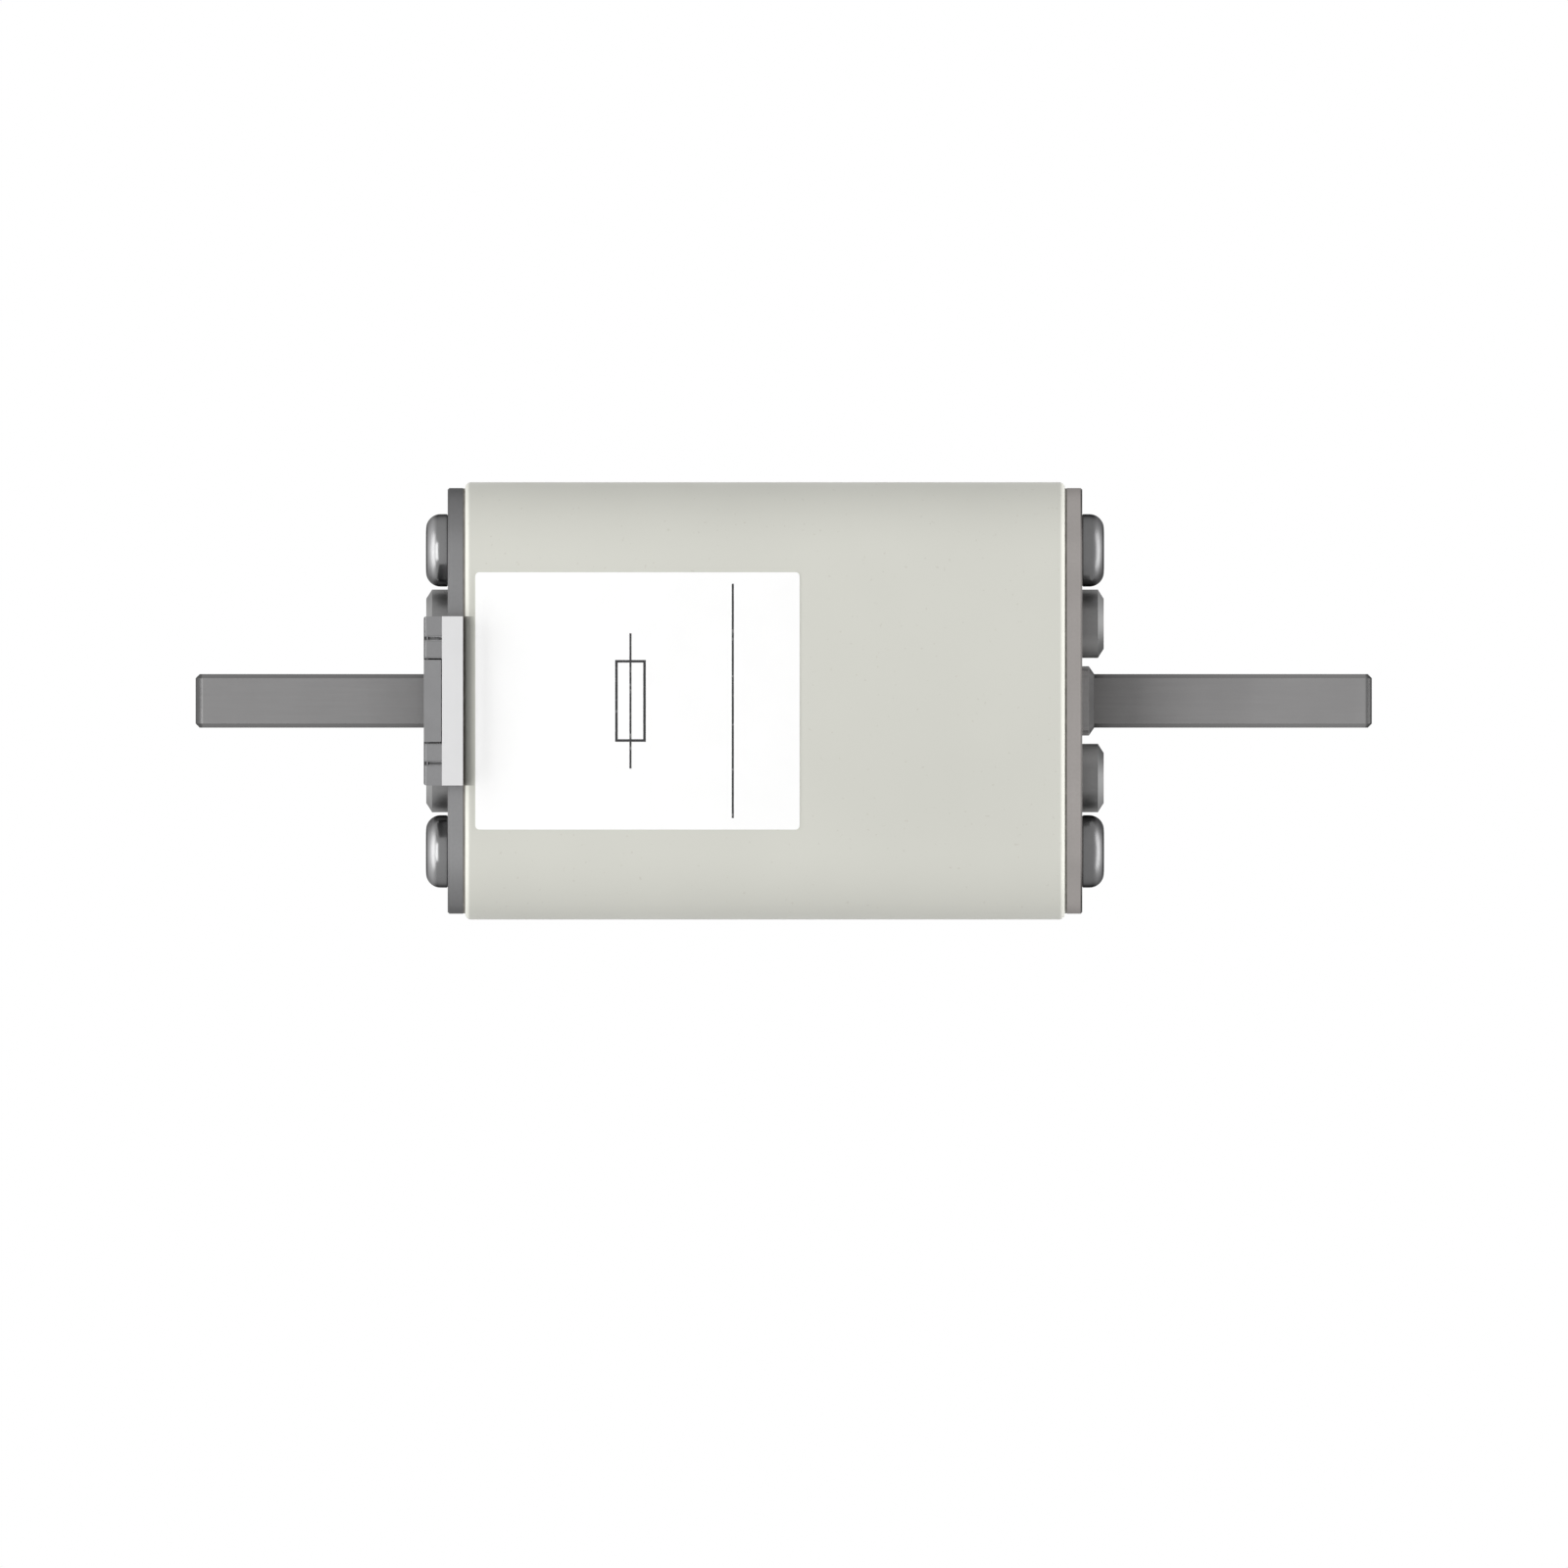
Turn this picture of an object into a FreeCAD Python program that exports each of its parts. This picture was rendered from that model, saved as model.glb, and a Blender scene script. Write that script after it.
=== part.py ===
import FreeCAD, Part
import math
import os
from FreeCAD import Vector

# Square-bodied high-speed fuse with two bolt-on blades and a trip indicator, in millimetres.
# The body's axis is X, the indicator sits at the front (-Y) edge of the left end, and the blades lie
# flat across Z. Pieces are built about the centre of the ceramic body, then moved together so that the
# origin is the centre of the whole fuse.

# Ceramic body
body_length = 72.7
body_side = 53.0
body_corner = 8.8
body_edge = 0.6
body_wall = 5.9

# End plates, with a gasket under each
plate_thickness = 1.85
plate_inset = 0.7
plate_edge = 0.2
gasket_thickness = 0.25
gasket_inset = 0.05

# Thread-forming screws at the corners of each plate
screw_from_face = 8.25
screw_shank = 4.0
screw_length = 14.0
screw_head = 8.8
screw_head_height = 2.65
screw_head_side = 1.25
screw_bevel_in = 1.35
screw_plate_clearance = 0.2
screw_body_clearance = 0.05
screw_hole_spare = 1.0

# Six-pointed recess in each screw head
recess_tip = 1.975
recess_waist = 1.4
recess_depth = 1.5

# Blades: the left one is short with an open slot, the right one is long with a closed slot
blade_width = 25.0
blade_thickness = 6.5
left_reach = 30.55
right_reach = 35.1
blade_corner = 0.9
blade_edge = 0.5
foot_growth = 0.95
foot_straight = 0.8
foot_bevel = 0.65
tenon_width = 20.0
tenon_clearance = 0.1
bolt_centres = 110.0
slot_width = 11.0
slot_play = 3.0
slot_mouth_radius = 1.0

# Contact blocks inside the bore, riveted to the plates
block_thickness = 4.0
block_clearance = 0.8
rivet_from_bore = 3.25
rivet_angle = 32.6
rivet_shank = 3.2
rivet_head = 8.3
rivet_head_height = 2.6
rivet_bevel_along = 0.7
rivet_bevel_in = 1.1
rivet_clearance = 0.05

# Silver fuse elements between the blocks
element_count = 6
element_from_wire = 3.1
element_width = 20.0
element_thickness = 0.25
element_tab = 2.3
window_rows = 5
window_pitch = 11.0
window_columns = 3
window_step = 6.4
window_length = 4.0
window_height = 5.4

# Quartz sand and the plug of its filling hole
sand_clearance = 0.1
fill_from_bore = 6.6
plug_diameter = 7.0
plug_clearance = 0.03
fill_step = 0.5

# Trip wire with its sleeve and bushing
wire_diameter = 0.4
wire_from_blade = 3.1
wire_anchor = 2.0
wire_clearance = 0.15
sleeve_wall = 0.65
bushing_wall = 0.95
bushing_clearance = 0.05
ferrule_diameter = 0.9
ferrule_length = 1.6
ferrule_wall = 0.6

# Trip indicator: moulded base, sheet bracket, sliding flag and two springs
unit_proud = 2.15
unit_half_height = 10.25
unit_floor = 0.7
unit_cavity = 1.65
unit_head_clearance = 0.55
unit_tongue_clearance = 0.9
unit_tongue_rear = 1.2
sheet_thickness = 0.55
sheet_radius = 0.3
lip_overhang = 1.85
lip_clearance = 0.1
finger_slit = 0.4
finger_slit_depth = 1.4
finger_inner = 4.975
finger_outer = 7.575
wall_clearance = 0.1
wall_thickness = 0.5
wall_setback = 1.0
stake_height = 8.55
stake_from_front = 5.9
stake_boss = 2.1
stake_pin = 1.4
stake_clearance = 0.03
peg_diameter = 1.6

# Flag
flag_travel = 3.5
flag_stop_clearance = 0.05
flag_clearance = 0.1
flag_lip = 0.6
flag_ear = 1.4
flag_tail_side = 0.65
flag_tail_margin = 0.7
spring_strip = 0.2
spring_legs = 4
spring_clearance = 0.03

# Label on the front face
label_length = 39.3
label_height = 31.2
label_thickness = 0.1
label_from_end = 1.25

# Places along X, from the body's centre outward
body_end = body_length / 2
plate_inner = body_end + gasket_thickness
plate_outer = plate_inner + plate_thickness
block_face = plate_inner - block_thickness

# Places across the axis
bore_radius = body_side / 2 - body_wall
plate_side = body_side - 2 * plate_inset
plate_corner = body_corner - plate_inset
screw_place = body_side / 2 - screw_from_face
rivet_circle = bore_radius - rivet_from_bore
rivet_place = rivet_circle * math.cos(math.radians(rivet_angle))
rivet_height = rivet_circle * math.sin(math.radians(rivet_angle))
fill_height = bore_radius - fill_from_bore
wire_place = -(blade_width / 2 + wire_from_blade)
element_reach = -wire_place - element_from_wire
wire_hole = wire_diameter / 2 + wire_clearance
sleeve_radius = wire_hole + sleeve_wall
bushing_radius = wire_hole + bushing_wall

# Places of the indicator unit: Y from the front backwards, Z as half heights, and heights above the
# outer face of the left plate
unit_front = -(body_side / 2 + unit_proud)
unit_rear = -(rivet_place + rivet_head / 2 + unit_head_clearance)
tongue_rear = wire_place + unit_tongue_rear
tongue_half = rivet_height - rivet_head / 2 - unit_tongue_clearance
roof_under = unit_floor + unit_cavity
unit_top = roof_under + sheet_thickness
finger_back = unit_front + sheet_thickness
wall_front = unit_rear - sheet_thickness - wall_clearance - wall_thickness
stake_place = unit_front + stake_from_front
flag_low = unit_floor + flag_clearance
flag_high = roof_under - flag_clearance
flag_half = finger_inner - finger_slit / 2
flag_tail_half = tongue_half - sheet_thickness - flag_tail_side
ear_half = finger_outer - finger_slit
ear_front = finger_back + flag_travel + flag_stop_clearance
ear_rear = ear_front + flag_ear
wire_lie = (flag_low + flag_high) / 2
tail_rear = wire_place - flag_tail_margin
ferrule_place = tail_rear - ferrule_wall - ferrule_length


def block(x, y, z):
    """Box between two limits along each axis."""
    low = Vector(min(x), min(y), min(z))
    return Part.makeBox(max(x) - low.x, max(y) - low.y, max(z) - low.z, low)


def rod(x, radius, y=0.0, z=0.0):
    """Round bar along X between two limits."""
    return Part.makeCylinder(radius, max(x) - min(x), Vector(min(x), y, z), Vector(1, 0, 0))


def outline(x, width, height, corner):
    """Rounded rectangle across the axis at x, width along Y and height along Z."""
    edges = []
    corners = ((1, 1), (-1, 1), (-1, -1), (1, -1))
    for quarter, (side_y, side_z) in enumerate(corners):
        centre = Vector(x, side_y * (width / 2 - corner), side_z * (height / 2 - corner))
        arc = [
            centre + Vector(0, math.cos(angle), math.sin(angle)) * corner
            for angle in (math.radians(90 * quarter + step) for step in (0, 45, 90))
        ]
        if edges:
            edges.append(Part.makeLine(edges[-1].Vertexes[-1].Point, arc[0]))
        edges.append(Part.Arc(*arc).toShape())
    edges.append(Part.makeLine(edges[-1].Vertexes[-1].Point, edges[0].Vertexes[0].Point))
    return Part.Wire(edges)


def prism(x, width, height, corner):
    """Bar with rounded corners along X between two limits."""
    face = Part.Face(outline(min(x), width, height, corner))
    return face.extrude(Vector(max(x) - min(x), 0, 0))


def edges_at(shape, x):
    """Edges of a shape that lie in the plane at x."""
    return [e for e in shape.Edges if abs(e.BoundBox.XMin - x) + abs(e.BoundBox.XMax - x) < 1e-4]


def one_solid(shape):
    """The single solid of a finished piece, without seams left by joining."""
    return shape.removeSplitter().Solids[0]


def corner_places():
    """Centres (y, z) of the four screws of a plate."""
    return [(y * screw_place, z * screw_place) for y in (-1, 1) for z in (-1, 1)]


def rivet_places():
    """Centres (y, z) of the four rivets of a plate."""
    return [(y * rivet_place, z * rivet_height) for y in (-1, 1) for z in (-1, 1)]


def ceramic_body():
    """Square tube with a round bore, bevelled end edges and blind screw holes."""
    body = prism((-body_end, body_end), body_side, body_side, body_corner)
    body = body.makeChamfer(body_edge, edges_at(body, -body_end) + edges_at(body, body_end))
    radius = screw_shank / 2 + screw_body_clearance
    holes = [rod((-body_end, body_end), bore_radius)]
    for side in (-1, 1):
        depth = plate_outer - screw_length - screw_hole_spare
        holes += [rod((side * depth, side * body_end), radius, y, z) for y, z in corner_places()]
    return one_solid(body.cut(holes))


def gasket(side):
    """Thin sealing sheet between the ceramic and a plate."""
    span = (side * body_end, side * plate_inner)
    width = plate_side - 2 * gasket_inset
    sheet = prism(span, width, width, plate_corner - gasket_inset)
    radius = screw_shank / 2 + screw_plate_clearance
    holes = [rod(span, radius, y, z) for y, z in corner_places()]
    return one_solid(sheet.cut(holes + [rod(span, bore_radius)]))


def tenon(span, clearance):
    """Tenon of a blade, or its slot when a clearance is given."""
    half_width = tenon_width / 2 + clearance
    half_height = blade_thickness / 2 + clearance
    return block(span, (-half_width, half_width), (-half_height, half_height))


def end_plate(side):
    """Plated end plate with holes for its screws, its rivets and the blade's tenon."""
    span = (side * plate_inner, side * plate_outer)
    plate = prism(span, plate_side, plate_side, plate_corner)
    plate = plate.makeChamfer(plate_edge, edges_at(plate, side * plate_outer))
    screw_hole = screw_shank / 2 + screw_plate_clearance
    rivet_hole = rivet_shank / 2 + rivet_clearance
    holes = [rod(span, screw_hole, y, z) for y, z in corner_places()]
    holes += [rod(span, rivet_hole, y, z) for y, z in rivet_places()]
    holes.append(tenon(span, tenon_clearance))
    if side < 0:
        holes.append(rod(span, bushing_radius + bushing_clearance, wire_place))
        peg_hole = peg_diameter / 2 + stake_clearance
        holes += [rod(span, peg_hole, stake_place, z * stake_height) for z in (-1, 1)]
    else:
        holes.append(rod(span, plug_diameter / 2 + plug_clearance, 0, fill_height))
    return one_solid(plate.cut(holes))


def contact_block(side):
    """Copper disc inside the bore that takes the elements, the tenon and the rivets."""
    span = (side * block_face, side * plate_inner)
    disc = rod(span, bore_radius - block_clearance)
    holes = [rod(span, rivet_shank / 2 + rivet_clearance, y, z) for y, z in rivet_places()]
    holes.append(tenon(span, tenon_clearance))
    if side < 0:
        holes.append(rod(span, bushing_radius + bushing_clearance, wire_place))
    else:
        anchor = (block_face, block_face + wire_anchor)
        holes.append(rod(anchor, wire_diameter / 2 + bushing_clearance, wire_place))
        holes.append(rod(span, plug_diameter / 2 - fill_step, 0, fill_height))
    return one_solid(disc.cut(holes))


def turned(profile, side):
    """Solid turned about the X axis from (x, radius) corners, facing outward on its side."""
    points = [Vector(side * x, radius, 0) for x, radius in profile]
    face = Part.Face(Part.makePolygon(points + points[:1]))
    return face.revolve(Vector(0, 0, 0), Vector(1, 0, 0), 360)


def screw_recess(side):
    """Six-pointed recess of a screw head."""
    points = []
    for corner in range(12):
        radius = recess_waist if corner % 2 else recess_tip
        angle = math.radians(30 * corner)
        points.append(Vector(side * (plate_outer + screw_head_height - recess_depth), 0, 0))
        points[-1] += Vector(0, math.cos(angle), math.sin(angle)) * radius
    star = Part.Face(Part.makePolygon(points + points[:1]))
    return star.extrude(Vector(side * screw_head_height, 0, 0))


def plate_screws(side):
    """The four pan-head screws of one plate."""
    head = screw_head / 2
    rim = plate_outer + screw_head_side
    profile = [
        (plate_outer - screw_length, 0),
        (plate_outer - screw_length, screw_shank / 2),
        (plate_outer, screw_shank / 2),
        (plate_outer, head),
        (rim, head),
        (plate_outer + screw_head_height, head - screw_bevel_in),
        (plate_outer + screw_head_height, 0),
    ]
    screw = one_solid(turned(profile, side).cut(screw_recess(side)))
    return Part.makeCompound([screw.translated(Vector(0, y, z)) for y, z in corner_places()])


def rivets(side):
    """The four bevel-headed rivets that hold a contact block to its plate."""
    head = rivet_head / 2
    top = plate_outer + rivet_head_height
    profile = [
        (block_face, 0),
        (block_face, rivet_shank / 2),
        (plate_outer, rivet_shank / 2),
        (plate_outer, head),
        (top - rivet_bevel_along, head),
        (top, head - rivet_bevel_in),
        (top, 0),
    ]
    rivet = one_solid(turned(profile, side))
    return Part.makeCompound([rivet.translated(Vector(0, y, z)) for y, z in rivet_places()])


def tongue(side, root, tip):
    """Flat bar of a blade with rounded corners at its tip and eased edges."""
    half = blade_width / 2
    low = -blade_thickness / 2
    knee = blade_corner * (1 - math.sqrt(0.5))
    points = [
        Vector(side * root, -half, low),
        Vector(side * (tip - blade_corner), -half, low),
        Vector(side * tip, -half + blade_corner, low),
        Vector(side * tip, half - blade_corner, low),
        Vector(side * (tip - blade_corner), half, low),
        Vector(side * root, half, low),
    ]
    edges = [
        Part.makeLine(points[0], points[1]),
        Part.Arc(points[1], Vector(side * (tip - knee), -half + knee, low), points[2]).toShape(),
        Part.makeLine(points[2], points[3]),
        Part.Arc(points[3], Vector(side * (tip - knee), half - knee, low), points[4]).toShape(),
        Part.makeLine(points[4], points[5]),
        Part.makeLine(points[5], points[0]),
    ]
    bar = Part.Face(Part.Wire(edges)).extrude(Vector(0, 0, blade_thickness))
    rims = [
        e for e in bar.Edges
        if e.BoundBox.ZLength < 1e-4 and abs(e.CenterOfMass.x - side * root) > 1e-4
    ]
    return bar.makeChamfer(blade_edge, rims)


def slot_cutter(near, far):
    """Round-ended bolt slot through a blade between two arc centres along X."""
    radius = slot_width / 2
    reach = blade_thickness
    z = (-reach, reach)
    ends = [
        Part.makeCylinder(radius, 2 * reach, Vector(x, 0, -reach)) for x in (near, far)
    ]
    return block((near, far), (-radius, radius), z).fuse(ends)


def slot_mouth(side, tip):
    """Flare that rounds the two corners where an open slot meets the blade's tip."""
    half = slot_width / 2
    inner = tip - slot_mouth_radius
    reach = 2 * blade_thickness
    flare = block(
        (side * inner, side * (tip + 1)),
        (-half - slot_mouth_radius, half + slot_mouth_radius),
        (-blade_thickness, blade_thickness),
    )
    corners = [
        Part.makeCylinder(
            slot_mouth_radius, reach, Vector(side * inner, y * (half + slot_mouth_radius), -reach / 2)
        )
        for y in (-1, 1)
    ]
    return flare.cut(corners)


def blade(side, reach, open_slot):
    """Bolt-on blade: a tongue with its slot, a bevelled foot and a tenon through plate and block."""
    tip = plate_outer + reach
    foot = plate_outer + foot_straight
    root = foot + foot_bevel
    wide = (blade_width + 2 * foot_growth, blade_thickness + 2 * foot_growth, blade_edge + foot_growth)
    bar = tongue(side, root, tip)
    near = bolt_centres / 2 - slot_play
    far = tip + slot_width if open_slot else bolt_centres / 2 + slot_play
    cutters = [slot_cutter(side * near, side * far)]
    if open_slot:
        cutters.append(slot_mouth(side, tip))
    bar = bar.cut(cutters)
    collar = prism((side * plate_outer, side * foot), *wide)
    ends = [outline(side * foot, *wide), outline(side * root, blade_width, blade_thickness, blade_edge)]
    bevel = Part.makeLoft(ends, True, True)
    return one_solid(bar.fuse([collar, bevel, tenon((side * block_face, side * plate_outer), 0)]))


def element_planes():
    """Places along Y of the fuse elements."""
    step = 2 * element_reach / (element_count - 1)
    return [number * step - element_reach for number in range(element_count)]


def window_cutter(x, y, z):
    """Diamond window through an element."""
    corners = [
        Vector(x - window_length / 2, y - 1, z),
        Vector(x, y - 1, z - window_height / 2),
        Vector(x + window_length / 2, y - 1, z),
        Vector(x, y - 1, z + window_height / 2),
    ]
    return Part.Face(Part.makePolygon(corners + corners[:1])).extrude(Vector(0, 2, 0))


def fuse_element(y):
    """Silver strip with rows of windows and a tab folded onto each contact block."""
    inward = -math.copysign(1, y)
    half = element_width / 2
    thick = element_thickness
    outside = y - inward * thick / 2
    strip = block((-block_face, block_face), (outside, outside + inward * element_tab), (-half, half))
    hollow = block(
        (thick - block_face, block_face - thick),
        (outside + inward * thick, outside + inward * (element_tab + 1)),
        (-half, half),
    )
    rows = [(n - (window_rows - 1) / 2) * window_pitch for n in range(window_rows)]
    columns = [(n - (window_columns - 1) / 2) * window_step for n in range(window_columns)]
    windows = [window_cutter(x, y, z) for x in rows for z in columns]
    return one_solid(strip.cut([hollow] + windows))


def quartz_sand():
    """Sand that fills the bore round the elements and the wire's sleeve."""
    end = block_face - element_thickness - sand_clearance
    sand = rod((-end, end), bore_radius - sand_clearance)
    slit = element_thickness / 2 + sand_clearance
    half = element_width / 2 + sand_clearance
    slits = [block((-end, end), (y - slit, y + slit), (-half, half)) for y in element_planes()]
    return one_solid(sand.cut(slits + [rod((-end, end), sleeve_radius + sand_clearance, wire_place)]))


def fill_plug():
    """Disc pressed flush into the filling hole of the right plate."""
    return rod((plate_inner, plate_outer), plug_diameter / 2, 0, fill_height)


def out(height):
    """Place along X of a height above the outer face of the left plate."""
    return -(plate_outer + height)


def unit_block(heights, y, z):
    """Box of the indicator unit, given by heights above the left plate."""
    return block((out(heights[0]), out(heights[1])), y, z)


def tee(heights, inset):
    """Plan of the indicator unit raised between two heights: a bar along the edge and a tongue."""
    bar = unit_block(
        heights,
        (unit_front + inset, unit_rear - inset),
        (inset - unit_half_height, unit_half_height - inset),
    )
    stem = unit_block(
        heights, (unit_rear - 2 * inset - 1, tongue_rear - inset), (inset - tongue_half, tongue_half - inset)
    )
    return bar.fuse(stem).removeSplitter()


def stake(clearance):
    """Pin that is formed flush into the bracket, or its hole when a clearance is given."""
    return rod((out(roof_under), out(unit_top)), stake_pin / 2 + clearance, stake_place)


def indicator_base():
    """Moulded base: floor on the plate, lip over its edge, guide walls, bosses, stakes and pegs."""
    lip_rear = -plate_side / 2 - lip_clearance
    pieces = [tee((0, unit_floor), 0)]
    pieces.append(
        unit_block((-lip_overhang, unit_floor), (unit_front, lip_rear), (-unit_half_height, unit_half_height))
    )
    wall_outer = ear_half + wall_clearance + wall_thickness
    wall_rear = wall_front + wall_thickness
    tail_wall = flag_tail_half + wall_clearance
    for side in (-1, 1):
        z = side * stake_height
        guide = (side * (wall_outer - wall_thickness), side * wall_outer)
        pieces.append(unit_block((0, flag_high), (finger_back + wall_setback, wall_rear), guide))
        pieces.append(unit_block((0, flag_high), (wall_front, wall_rear), (side * tail_wall, side * wall_outer)))
        pieces.append(rod((out(0), out(roof_under)), stake_boss / 2, stake_place, z))
        pieces.append(stake(0).translated(Vector(0, 0, z)))
        pieces.append(rod((out(0), out(-plate_thickness)), peg_diameter / 2, stake_place, z))
    base = pieces[0].fuse(pieces[1:])
    return one_solid(base.cut(rod((out(-1), out(unit_floor)), wire_hole, wire_place)))


def indicator_bracket():
    """Sheet bracket: a shallow tray with a slit front flange, open in the middle for the flag."""
    tray = tee((unit_floor, unit_top), 0)
    rims = edges_at(tray, out(unit_top))
    tray = tray.makeFillet(sheet_radius, rims)
    cuts = [tee((unit_floor - 1, roof_under), sheet_thickness)]
    window = finger_inner + finger_slit / 2
    window_depth = (unit_front - 1, unit_front + flag_lip + flag_clearance)
    cuts.append(unit_block((0, unit_top + 1), window_depth, (-window, window)))
    slit_depth = (unit_front - 1, unit_front + finger_slit_depth)
    for side in (-1, 1):
        for middle in (finger_inner, finger_outer):
            slit = (side * (middle - finger_slit / 2), side * (middle + finger_slit / 2))
            cuts.append(unit_block((0, unit_top + 1), slit_depth, slit))
        cuts.append(stake(stake_clearance).translated(Vector(0, 0, side * stake_height)))
    return one_solid(tray.cut(cuts))


def indicator_flag():
    """Slider: a lip that closes the window, ears that meet the fingers and a tail held by the wire."""
    heights = (flag_low, flag_high)
    pieces = [
        unit_block((flag_low, unit_top), (unit_front, unit_front + flag_lip), (-flag_half, flag_half)),
        unit_block(heights, (unit_front, ear_rear), (-flag_half, flag_half)),
        unit_block(heights, (ear_front, ear_rear), (-ear_half, ear_half)),
        unit_block(heights, (ear_front, tail_rear), (-flag_tail_half, flag_tail_half)),
    ]
    groove = wire_diameter / 2 + flag_clearance
    seat = ferrule_diameter / 2 + flag_clearance
    pocket = (ferrule_place - flag_clearance, ferrule_place + ferrule_length + flag_clearance)
    cuts = [
        unit_block((wire_lie - groove, unit_top), (ferrule_place, tail_rear + 1), (-groove, groove)),
        unit_block((wire_lie - seat, unit_top), pocket, (-seat, seat)),
    ]
    return one_solid(pieces[0].fuse(pieces[1:]).cut(cuts))


def indicator_springs():
    """Two folded strip springs, pressed between the flag's ears and the base's rear walls."""
    front = ear_rear + spring_clearance + spring_strip / 2
    rear = wall_front - spring_clearance - spring_strip / 2
    pitch = (rear - front) / (spring_legs - 1)
    low = out(flag_low)
    tall = flag_high - flag_low
    inner = flag_tail_half + wall_clearance + pitch / 2 + spring_strip / 2
    outer = ear_half - pitch / 2 - spring_strip / 2
    springs = []
    for side in (-1, 1):
        pieces = []
        for leg in range(spring_legs):
            y = front + leg * pitch
            leg_y = (y - spring_strip / 2, y + spring_strip / 2)
            pieces.append(unit_block((flag_low, flag_high), leg_y, (side * inner, side * outer)))
            if leg == spring_legs - 1:
                continue
            end = side * (outer if leg % 2 else inner)
            away = side * (1 if leg % 2 else -1)
            centre = Vector(low, y + pitch / 2, end)
            ring = Part.makeCylinder(pitch / 2 + spring_strip / 2, tall, centre, Vector(-1, 0, 0))
            ring = ring.cut(Part.makeCylinder(pitch / 2 - spring_strip / 2, tall, centre, Vector(-1, 0, 0)))
            half = unit_block((flag_low, flag_high), (y - 1, y + pitch + 1), (end, end + away * 2 * pitch))
            pieces.append(ring.common(half))
        springs.append(one_solid(pieces[0].fuse(pieces[1:])))
    return Part.makeCompound(springs)


def trip_wire():
    """Wire from the right block through the sand, bent towards the flag and crimped in a ferrule."""
    radius = wire_diameter / 2
    run = rod((out(wire_lie + radius), block_face + wire_anchor), radius, wire_place)
    lie = Part.makeCylinder(
        radius, wire_place + radius - ferrule_place, Vector(out(wire_lie), ferrule_place, 0), Vector(0, 1, 0)
    )
    ferrule = Part.makeCylinder(
        ferrule_diameter / 2, ferrule_length, Vector(out(wire_lie), ferrule_place, 0), Vector(0, 1, 0)
    )
    return one_solid(run.fuse([lie, ferrule]))


def wire_sleeve():
    """Insulating sleeve round the wire between the contact blocks."""
    end = block_face - sand_clearance
    return rod((-end, end), sleeve_radius, wire_place).cut(rod((-end, end), wire_hole, wire_place))


def wire_bushing():
    """Insulating bushing that guides the wire out through the left block and plate."""
    span = (-plate_outer, -block_face)
    return rod(span, bushing_radius, wire_place).cut(rod(span, wire_hole, wire_place))


def label():
    """Printed label on the front face, near the indicator's end."""
    start = label_from_end - body_end
    face = -body_side / 2
    return block(
        (start, start + label_length), (face - label_thickness, face), (-label_height / 2, label_height / 2)
    )


def pieces():
    """Every piece of the fuse by name."""
    named = {
        "ceramic_body": ceramic_body(),
        "label": label(),
        "left_blade": blade(-1, left_reach, True),
        "right_blade": blade(1, right_reach, False),
        "quartz_sand": quartz_sand(),
        "fill_plug": fill_plug(),
        "trip_wire": trip_wire(),
        "wire_sleeve": wire_sleeve(),
        "wire_bushing": wire_bushing(),
        "indicator_base": indicator_base(),
        "indicator_bracket": indicator_bracket(),
        "indicator_flag": indicator_flag(),
        "indicator_springs": indicator_springs(),
    }
    for name, side in (("left", -1), ("right", 1)):
        named[name + "_end_plate"] = end_plate(side)
        named[name + "_gasket"] = gasket(side)
        named[name + "_plate_screws"] = plate_screws(side)
        named[name + "_contact_block"] = contact_block(side)
        named[name + "_rivets"] = rivets(side)
    for number, y in enumerate(element_planes(), start=1):
        named["fuse_element_" + str(number)] = fuse_element(y)
    return named


os.makedirs("parts", exist_ok=True)
centre = Vector((right_reach - left_reach) / 2, -unit_proud / 2, 0)
for name, shape in pieces().items():
    shape.translated(-centre).exportStep("parts/" + name + ".step")
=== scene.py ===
import math

import bmesh
import bpy
from bpy.props import FloatProperty, FloatVectorProperty, IntProperty, PointerProperty
from mathutils import Matrix, Vector


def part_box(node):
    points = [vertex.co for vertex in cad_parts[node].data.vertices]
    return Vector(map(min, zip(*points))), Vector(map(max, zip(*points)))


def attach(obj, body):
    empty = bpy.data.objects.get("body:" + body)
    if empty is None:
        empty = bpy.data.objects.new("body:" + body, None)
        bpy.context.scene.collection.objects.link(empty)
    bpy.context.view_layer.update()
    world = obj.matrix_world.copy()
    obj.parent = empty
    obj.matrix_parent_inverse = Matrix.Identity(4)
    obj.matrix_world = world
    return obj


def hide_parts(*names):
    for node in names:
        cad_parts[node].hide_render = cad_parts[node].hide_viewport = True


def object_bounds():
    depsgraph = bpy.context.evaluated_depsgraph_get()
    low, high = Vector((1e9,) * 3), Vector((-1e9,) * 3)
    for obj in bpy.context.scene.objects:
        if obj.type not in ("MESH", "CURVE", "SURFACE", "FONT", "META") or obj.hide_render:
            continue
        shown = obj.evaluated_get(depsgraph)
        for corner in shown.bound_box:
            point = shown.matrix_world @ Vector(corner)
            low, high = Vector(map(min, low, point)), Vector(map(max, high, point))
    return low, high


bl_info = {
    "name": "Square-bodied power fuse",
    "version": (1, 0, 0),
    "blender": (4, 5, 0),
    "location": "View3D > Sidebar > Power Fuse",
    "description": "Dresses a square-bodied ceramic fuse with bolt-on blades and a trip indicator",
    "category": "Object",
}

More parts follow.
